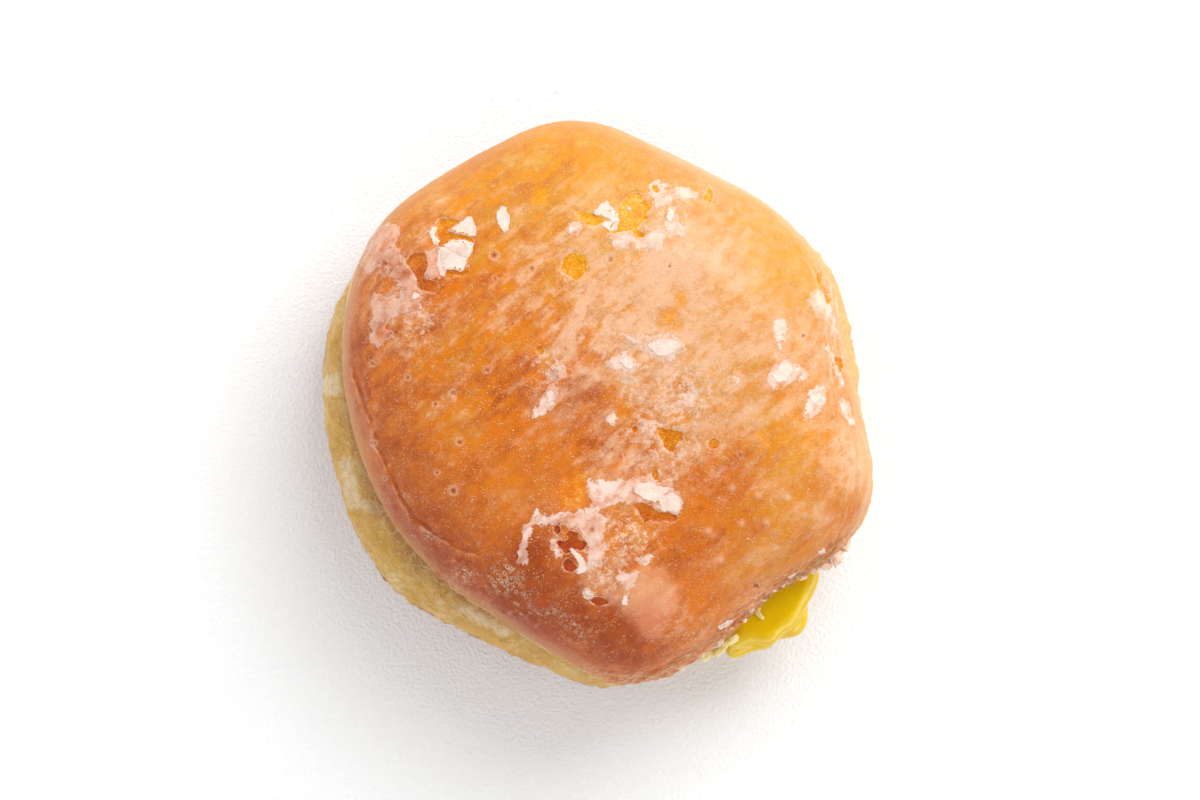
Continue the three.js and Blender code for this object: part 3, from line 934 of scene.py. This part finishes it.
def box_sheet():
    """An open box of even squares, swelled to a ball: its top, and rows down its four sides."""
    sheet = bmesh.new()
    bmesh.ops.create_grid(sheet, x_segments=GLAZE_CELLS, y_segments=GLAZE_CELLS, size=1.0)
    bmesh.ops.translate(sheet, verts=sheet.verts, vec=(0, 0, 1))
    edges = [edge for edge in sheet.edges if edge.is_boundary]
    for _ in range(GLAZE_SIDES):
        made = bmesh.ops.extrude_edge_only(sheet, edges=edges)["geom"]
        verts = [item for item in made if isinstance(item, bmesh.types.BMVert)]
        bmesh.ops.translate(sheet, verts=verts, vec=(0, 0, -2 / GLAZE_CELLS))
        edges = [item for item in made if isinstance(item, bmesh.types.BMEdge) and item.is_boundary]
    bmesh.ops.recalc_face_normals(sheet, faces=sheet.faces)
    return sheet


def lay_on(points, tree, far=90.0):
    """Each point's direction from the middle of the resting face, followed in from afar to the surface."""
    directions = np.tan(points * math.pi / 4)
    directions /= np.linalg.norm(directions, axis=1)[:, None]
    aims = [Vector(direction) for direction in directions.tolist()]
    return np.array([tree.ray_cast(aim * far, -aim)[0] or aim * far for aim in aims])


# The crease along the top of the left wall, from back to front, and round the wall outside it.
CREASE = outlines(
    (-39.4, 9, -38.5, 4, -37.2, 0, -35.5, -4.8, -34.6, -7.5, -33.2, -10.5, -31.5, -14, -29, -18, -25, -21,
     -21, -23, -16, -24.5, -16, -60, -70, -60, -70, 9),
)[0]

# Where the glaze stands out more: direction and spread in degrees, and reach.
SWELLS = [(93, 16, 0.7), (28, 11, 1.3), (50, 12, 0.4), (348, 12, 0.5), (135, 14, 0.4), (240, 20, 0.3)]


def glaze_edge(points, slit_at):
    """The height at which the glaze ends, round the doughnut."""
    unrolled = round_and_up(points)
    unrolled[:, 1] = 0.0
    wave = 0.9 * noise_at(unrolled, 9.0, 11) + 0.4 * noise_at(unrolled, 3.5, 12)
    near_slit = bump(angle_from(points, slit_at + 1), SLIT_REACH * 0.9)
    return GLAZE_END + wave + near_slit * (GLAZE_END_AT_SLIT - GLAZE_END - wave)


def wrinkles(points):
    """Folds in the glaze: flaky at the front right edge, fine on the right, a crease on the left.

    Gives their relief and crests, on which a highlight is painted, the front band, the crease's strength and
    the depth beyond it.
    """
    unrolled = round_and_up(points)
    z = points[:, 2] + 1.2 * noise_at(points, 4.0, 20)
    foot = smoothstep(21.5, 23.5, z)
    front = sector(points, 301, 25, 8.0) * (foot * (1.0 - smoothstep(29.5, 35.0, z)))
    right = sector(points, 4, 26, 8.0) * (foot * (1.0 - smoothstep(34.0, 38.0, z)))
    flaky = 0.6 * ridges_at(unrolled, (7.0, 2.4, 1.0), 21) + 0.35 * ridges_at(unrolled, (3.0, 1.5, 1.0), 22)
    below = sector(points, 245, 35, 12.0)
    right = np.maximum(right, 0.8 * below * foot * (1.0 - smoothstep(27.0, 30.5, z)))
    fine = ridges_at(unrolled, (9.0, 2.0, 1.0), 23)
    crest = front * flaky + 0.7 * right * fine
    relief = front * (0.9 * flaky - 0.3) + right * (0.35 * fine - 0.08)

    left = (1.0 - smoothstep(-22.0, -17.0, points[:, 0])) * (1.0 - smoothstep(3.0, 8.0, points[:, 1]))
    beyond = within(CREASE, strayed(points, 3.0, 0.5, 24))
    broken = np.clip(0.65 + 0.7 * noise_at(points, 3.0, 26), 0.1, 1.0)
    relief += left * broken * (0.42 * bump(beyond - 0.6, 0.6) - 0.3 * bump(beyond + 0.3, 0.5))
    relief += left * 0.3 * bump(points[:, 2] - 27.5, 3.5)
    # The crease's outer ridge counts as a crest, for a painted highlight.
    crest = np.maximum(crest, 0.45 * left * broken * bump(beyond - 0.55, 0.3))
    return relief, smoothstep(0.2, 0.8, crest), front, left * broken, beyond


def craters_on(points, spots):
    """The relief of burst bubbles, and how much of each point is ring or pit."""
    relief = np.zeros(len(points))
    ring = np.zeros(len(points))
    pit = np.zeros(len(points))
    for x, y, radius in spots:
        away = away_from(points, x, y) / radius
        near = np.flatnonzero(away < 2.5)
        here = away[near]
        rise = bump(here - 1.1, 0.35)
        dent = bump(here, 0.7)
        relief[near] += radius * (0.28 * rise - 0.5 * dent)
        ring[near] = np.maximum(ring[near], rise)
        pit[near] = np.maximum(pit[near], dent)
    return relief, ring, pit


SCATTERED_BLISTERS = 150
WALL_BLISTERS = 70


def blisters_on(points, rng):
    """Whole bubbles, scattered over the dome and crowded on the front left wall."""
    relief = np.zeros(len(points))
    spots = list(PALE_BLISTERS)
    for _ in range(SCATTERED_BLISTERS):
        around = rng.uniform(0, math.tau)
        out = DOME_RADIUS * math.sqrt(rng.uniform(0, 0.95))
        spots.append((out * math.cos(around), out * math.sin(around), rng.uniform(0.3, 0.55)))
    for _ in range(WALL_BLISTERS):
        around = math.radians(rng.gauss(242, 16))
        out = rng.uniform(32, 37.5)
        spots.append((out * math.cos(around), out * math.sin(around), rng.uniform(0.3, 0.6)))
    top = points[:, 2] > LIP_Z
    for x, y, radius in spots:
        away = away_from(points, x, y) / radius
        near = np.flatnonzero((away < 2.2) & top)
        relief[near] = np.maximum(relief[near], 0.45 * radius * bump(away[near], 0.9))
    return relief


def lip_at(points, folds):
    """How pale the glaze's lower edge is, where the dough shows through it and a highlight is painted along
    the rim, except at the back.
    """
    streaks = noise_at(round_and_up(points), (7.0, 1.0, 1.0), 36)
    height = points[:, 2] + 2.0 * folds + 1.4 * noise_at(points, 6.0, 35) + 1.2 * streaks
    edge = 1.0 - smoothstep(25.2, 26.1, height)
    wall = 1.0 - smoothstep(28.0, 32.5, height)
    return np.maximum(edge, 0.6 * wall) * (1.0 - bump(angle_from(points, 110), 28.0))


def glaze_relief(points, slit_at):
    """The glaze's thickness at each point, and what the finish needs to know about it."""
    rng = random.Random(11)
    above = points[:, 2] - glaze_edge(points, slit_at)
    thick = GLAZE_THICK + 0.16 * noise_at(points, 9.0, 31) + 0.05 * noise_at(points, 1.6, 32)
    turn = Matrix.Rotation(math.radians(-BRUSHED), 3, "Z")
    thick += 0.07 * noise_at(points @ np.array(turn).T, (9.0, 1.8, 3.0), 33)
    folds, crests, band, crease, beyond = wrinkles(points)
    thick += folds
    wall = between(21.0, 25.0, 34.0, 40.0, points[:, 2])
    for degrees, spread, reach in SWELLS:
        thick += wall * reach * bump(angle_from(points, degrees), spread)

    top = smoothstep(LIP_Z - 1.0, LIP_Z + 0.6, points[:, 2])
    film = np.where(top > 0, deepest_within(FILMS, points, 40), OUTSIDE)
    hole = np.maximum(deepest_within(HOLES, points, 80), deepest(ROUND_HOLES, points, 0.4, 90))
    hole = np.where(top > 0, hole, OUTSIDE)
    wet = top * smoothstep(-0.8, 0.9, deepest(WET, points, 1.0, 120))
    gold = top * smoothstep(-0.5, 0.4, deepest(GOLD, points, 1.0, 150))
    pool = np.where(top > 0, within(POOL, strayed(points, 2.0, 0.25, 160)), OUTSIDE)

    crater, ring, pit = craters_on(points, CRATERS)
    for x, y, radius in BIG_BLISTERS:
        away = away_from(points, x, y)
        thick += 0.7 * radius * bump(away, radius) * top
        pit = np.maximum(pit, 0.8 * (1.0 - smoothstep(0.6, 1.2, away / radius)))
    for x, y, radius in PALE_BLISTERS:
        ring = np.maximum(ring, bump(away_from(points, x, y), radius))
    blister = blisters_on(points, rng)
    thick += 0.1 * smoothstep(-0.1, 0.3, film) + crater + blister - 0.15 * wet
    thick += 0.2 * smoothstep(-0.2, 0.6, pool)
    open_hole = smoothstep(-0.2, 0.2, hole)
    thick = np.maximum(thick, HOLE_BOTTOM)
    thick = thick * (1.0 - open_hole) + HOLE_BOTTOM * open_hole

    thick += 0.35 * bump(above - 0.9, 0.8)
    end = smoothstep(-0.3, 0.5, above)
    thick = thick * end - 0.6 * (1.0 - end) - GLAZE_THICK
    marks = {
        "film": film,
        "hole": hole,
        "redness": redness(points),
        "wet": wet,
        "gold": gold,
        "ring": np.maximum(ring, 0.4 * smoothstep(0.1, 0.25, blister)) * top,
        "pit": pit * top,
        "pool": pool,
        "fold": crests * end,
        "lip": lip_at(points, folds) * (1.0 - 0.7 * band),
        "band": band * end,
        "crease": crease,
        "beyond": beyond,
        "froth": np.clip(spread_of(FROTH, points), 0.0, 1.0) * top,
        "frost": np.clip(spread_of(FROST, points), 0.0, 1.0) * top,
        "tone": np.clip(spread_of(TONES, points), -1.1, 1.0),
        "veil": np.clip(spread_of(VEILS_AND_SHEEN, points), 0.0, 1.4),
    }
    return thick, above, marks


def make_glaze(smooth_dough, filling, slit_at):
    whole = bmesh.new()
    whole.from_mesh(smooth_dough)
    whole.from_mesh(filling)
    tree = BVHTree.FromBMesh(whole)
    whole.free()

    mesh = mesh_of(box_sheet(), "glaze")
    put_at(mesh, lay_on(coordinates(mesh), tree))
    mesh = with_modifiers(mesh, [("SMOOTH", {"factor": 0.5, "iterations": 4})])
    points = coordinates(mesh)
    thick, above, marks = glaze_relief(points, slit_at)
    put_at(mesh, points + outwards(mesh) * thick[:, None])
    for name, values in marks.items():
        mark(mesh, name, values)
    mark(mesh, "above", above)

    sheet = bmesh.new()
    sheet.from_mesh(mesh)
    height = sheet.verts.layers.float["above"]
    buried = [vert for vert in sheet.verts if vert[height] < -1.2]
    bmesh.ops.delete(sheet, geom=buried, context="VERTS")
    mesh = mesh_of(sheet, "glaze")
    inner = {"thickness": GLAZE_DEEP, "offset": -1.0, "shell_vertex_group": "inside"}
    mesh = with_modifiers(
        mesh,
        [
            ("SOLIDIFY", inner),
            ("DECIMATE", {"ratio": 0.56, "vertex_group": "inside", "vertex_group_factor": 1.0}),
        ],
    )
    outer = tree_of(mesh)
    finished("glaze", mesh, glaze_finish())
    return outer


# ---- Flakes on the glaze ----

FLAKE_CELL = 0.17
FLAKE_THICK = 0.13
FLAKE_GAP = 0.02  # between a flake and the glaze
FLAKE_CURL = 0.08  # how far its raised side stands up


def flake_sheet(corners, seed):
    """A flat plate with a broken outline, lying at its place seen from above."""
    low = corners.min(axis=0) - 0.5
    high = corners.max(axis=0) + 0.5
    size = (high - low).max() / 2
    cells = int(2 * size / FLAKE_CELL)
    plate = bmesh.new()
    bmesh.ops.create_grid(plate, x_segments=cells, y_segments=cells, size=size)
    bmesh.ops.translate(plate, verts=plate.verts, vec=(*(low + high) / 2, 0))
    points = np.array([vert.co[:] for vert in plate.verts])
    field = within(corners, strayed(strayed(points, 1.3, 0.22, seed), 0.45, 0.16, seed + 7))
    gone = [vert for vert, deep in zip(plate.verts, field) if deep < 0.0]
    bmesh.ops.delete(plate, geom=gone, context="VERTS")
    loose = [vert for vert in plate.verts if not vert.link_faces]
    bmesh.ops.delete(plate, geom=loose, context="VERTS")
    return plate


def lay_flake(plate, middle, size, seed, tree):
    """Drops a plate on the glaze, a little proud of it and curled up at one side."""
    turn = math.radians(seed * 77 % 360)
    for vert in plate.verts:
        hit, facing = tree.ray_cast((vert.co.x, vert.co.y, FAR_OFF), DOWN)[:2]
        if hit is None:
            continue
        side = (vert.co.x - middle[0]) * math.cos(turn) + (vert.co.y - middle[1]) * math.sin(turn)
        curl = FLAKE_CURL * max(side / (0.5 * size), 0.0) ** 2
        crumple = 0.025 * noise.noise(vert.co / 1.3 + Vector((seed, 0, 0)))
        edge = 0.05 if vert.is_boundary else 0.0
        vert.co = hit + facing * (FLAKE_GAP + curl + crumple + edge)


def make_flakes(tree):
    joined = bmesh.new()
    for number, corners in enumerate(FLAKES):
        plate = flake_sheet(corners, number + 1)
        size = (corners.max(axis=0) - corners.min(axis=0)).max()
        lay_flake(plate, corners.mean(axis=0), size, number + 1, tree)
        bmesh.ops.recalc_face_normals(plate, faces=plate.faces)
        joined.from_mesh(mesh_of(plate, "flake"))
    whole = mesh_of(joined, "flakes")
    whole = with_modifiers(whole, [("SOLIDIFY", {"thickness": FLAKE_THICK, "offset": -1.0})])
    finished("glaze_flakes", whole, flake_finish())


# ---- Crumbs and torn dough ----

# Crumbs of glaze at the front right edge, held by direction (degrees), height and size.
EDGE_CRUMBS = [
    (325.0, 25.6, 1.1), (326.8, 24.0, 0.6), (327.6, 26.4, 1.3), (329.4, 24.6, 0.7), (330.2, 26.2, 1.0),
    (331.6, 24.8, 0.5), (322.6, 25.6, 0.7), (320.0, 26.8, 0.5), (316.0, 27.0, 0.45), (313.6, 28.2, 0.4),
    (310.6, 27.4, 0.55), (307.0, 28.2, 0.45), (304.4, 27.0, 0.5), (301.0, 28.6, 0.4), (297.6, 25.0, 0.6),
    (293.0, 25.6, 0.5), (288.0, 25.8, 0.7), (284.0, 25.0, 0.4),
]

# Torn dough by the slit: middle, half sizes and turn, in millimetres and degrees.
SHREDS = [
    ((17.6, -40.6, 19.4), (1.7, 0.8, 0.9), 20),
    ((20.0, -40.0, 20.4), (1.5, 0.5, 0.6), 40),
    ((21.4, -38.4, 20.8), (1.6, 0.6, 0.6), 30),
    ((16.0, -40.6, 18.0), (1.1, 0.8, 0.8), 0),
    ((34.6, -25.8, 21.4), (1.1, 0.5, 0.6), 60),
]
CRUMB_LIFT = 0.35  # of a crumb's middle above the curd
CURD_CRUMBS = [((26.3, -34.0), (1.1, 0.35, 0.3), -52), ((26.0, -33.0), (0.4, 0.7, 0.25), -10)]


def lump(into, middle, halves, turn, seed):
    """Adds a rough little lump to a shape."""
    made = bmesh.ops.create_icosphere(into, subdivisions=4, radius=1.0)["verts"]
    for vert in made:
        place = vert.co + Vector((seed * 3.1, 0, 0))
        vert.co *= 1.0 + 0.6 * noise.noise(place * 1.3) + 0.3 * noise.noise(place * 3.2)
        vert.co *= 1.0 + 0.08 * noise.noise(place * 7.0)
    bmesh.ops.scale(into, verts=made, vec=halves)
    bmesh.ops.rotate(into, verts=made, matrix=Matrix.Rotation(math.radians(turn), 3, "Z"))
    bmesh.ops.translate(into, verts=made, vec=middle)


def make_crumbs(tree, curd_tree):
    crumbs = bmesh.new()
    for number, (degrees, height, size) in enumerate(EDGE_CRUMBS):
        facing = Vector((math.cos(math.radians(degrees)), math.sin(math.radians(degrees)), 0.0))
        hit = tree.ray_cast(facing * FAR_OFF + Vector((0, 0, height)), -facing)[0]
        lump(crumbs, hit + facing * size * 0.3, (size, size * 0.8, size * 0.7), number * 53, number)
    finished("glaze_crumbs", mesh_of(crumbs, "crumbs"), crumb_finish())

    shreds = bmesh.new()
    for number, (middle, halves, turn) in enumerate(SHREDS):
        lump(shreds, middle, halves, turn, number + 20)
    for number, ((x, y), halves, turn) in enumerate(CURD_CRUMBS):
        height = curd_tree.ray_cast((x, y, FAR_OFF), DOWN)[0].z
        lump(shreds, (x, y, height + CRUMB_LIFT), halves, turn, number + 40)
    finished("dough_shreds", mesh_of(shreds, "shreds"), shred_finish())


# ---- The curd ----

CURD_CELL = 0.4
CURD_TOP = 20.4

# Where the tongue of curd bulges: x, y and spread, and how far it moves in x and y.
CURD_BULGES = [
    (32.4, -35.4, 2.6, (0.0, -1.2)),
    (27.6, -37.4, 2.4, (0.8, -1.5)),
    (35.0, -28.0, 3.0, (0.6, 0.5)),
]


def make_curd(smooth_filling, slit_at):
    """The tongue of curd sags flat on top, with a soft rim round it."""
    mesh = smooth_filling.copy()
    points = coordinates(mesh)
    relief = 0.1 * noise_at(points, 4.0, 51) + 0.03 * noise_at(points, 1.2, 52)
    points = points + outwards(mesh) * relief[:, None]
    facing = math.radians(slit_at)
    out = points[:, 0] * math.cos(facing) + points[:, 1] * math.sin(facing)
    above = np.maximum(points[:, 2] - CURD_TOP, 0.0) * smoothstep(34.0, 37.0, out)
    points[:, 2] -= 0.8 * above
    spill = bump(away_from(points, 22.2, -39.0), 2.8) * smoothstep(10.0, 15.0, points[:, 2])
    points[:, :2] += spill[:, None] * (-0.7, -2.2)
    for x, y, spread, push in CURD_BULGES:
        points[:, :2] += bump(away_from(points, x, y), spread)[:, None] * push
    put_at(mesh, points)
    faced = outwards(mesh)[:, 2]
    # Painted highlight: a pale line where the curd's top turns down to its sides.
    mark(mesh, "rim", bump(faced - 0.68, 0.06) * smoothstep(13.0, 16.0, points[:, 2]))
    tree = tree_of(mesh)
    finished("lemon_curd", mesh, curd_finish(), "lemon_filling")
    return tree


# ---- The studio ----

VIEW_WIDTH = 193.5  # the width seen at the height of the doughnut's lip
VIEW_MIDDLE = (0.56, 0.65)
LENS = 150.0
SENSOR = 36.0
BOARD = 3000.0  # half the width of the board that the doughnut lies on
WALLS = 1.25  # how bright the room's walls are
CEILING = 0.2
WINDOW_PLACE = (330, 490, 630)
WINDOW_TARGET = (0, 0, 15)
WINDOW_SIZE = 580
WINDOW_POWER = 4.65


def make_window():
    """One large soft light, high up at the back right."""
    lamp = bpy.data.lights.new("window", "AREA")
    lamp.shape = "DISK"
    lamp.size = WINDOW_SIZE * MM
    lamp.energy = WINDOW_POWER
    window = shown("window", lamp)
    window.location = Vector(WINDOW_PLACE) * MM
    aim = Vector(WINDOW_TARGET) * MM - window.location
    window.rotation_euler = aim.to_track_quat("-Z", "Y").to_euler()


def make_room():
    """White walls all round and a dimmer ceiling, which keeps its shine off the doughnut's top."""
    world = bpy.data.worlds.new("room")
    world.use_nodes = True
    room = Nodes(world.node_tree)
    up = room.axes(room.node("ShaderNodeTexCoord").outputs["Generated"])[2]
    strength = WALLS - (WALLS - CEILING) * up.step(0.5, 0.95)
    light = {"Color": (1.0, 0.995, 0.985, 1.0), "Strength": strength}
    background = room.node("ShaderNodeBackground", inputs=light)
    room.node("ShaderNodeOutputWorld", inputs={0: background.outputs[0]})
    return world


def make_studio():
    floor = bmesh.new()
    bmesh.ops.create_grid(floor, x_segments=1, y_segments=1, size=BOARD * MM)
    board = shown("floor", mesh_of(floor, "floor"))
    board.data.materials.append(floor_finish())

    make_window()
    scene = bpy.context.scene
    scene.world = make_room()
    scene.view_settings.view_transform = "Standard"

    lens = bpy.data.cameras.new("camera")
    lens.lens = LENS
    lens.sensor_width = SENSOR
    lens.clip_end = 20.0
    camera = shown("camera", lens)
    middle = Vector((*VIEW_MIDDLE, LIP_Z))
    camera.location = (middle + Vector((0, 0, VIEW_WIDTH * LENS / SENSOR))) * MM
    scene.camera = camera


slit_at = slit_direction()
smooth_dough = even_copy("dough", DOUGH_CELL, 5)
smooth_filling = even_copy("lemon_filling", CURD_CELL, 6)
make_dough(smooth_dough, tree_of(smooth_filling))
glaze_tree = make_glaze(smooth_dough, smooth_filling, slit_at)
make_flakes(glaze_tree)
curd_tree = make_curd(smooth_filling, slit_at)
make_crumbs(glaze_tree, curd_tree)
make_studio()
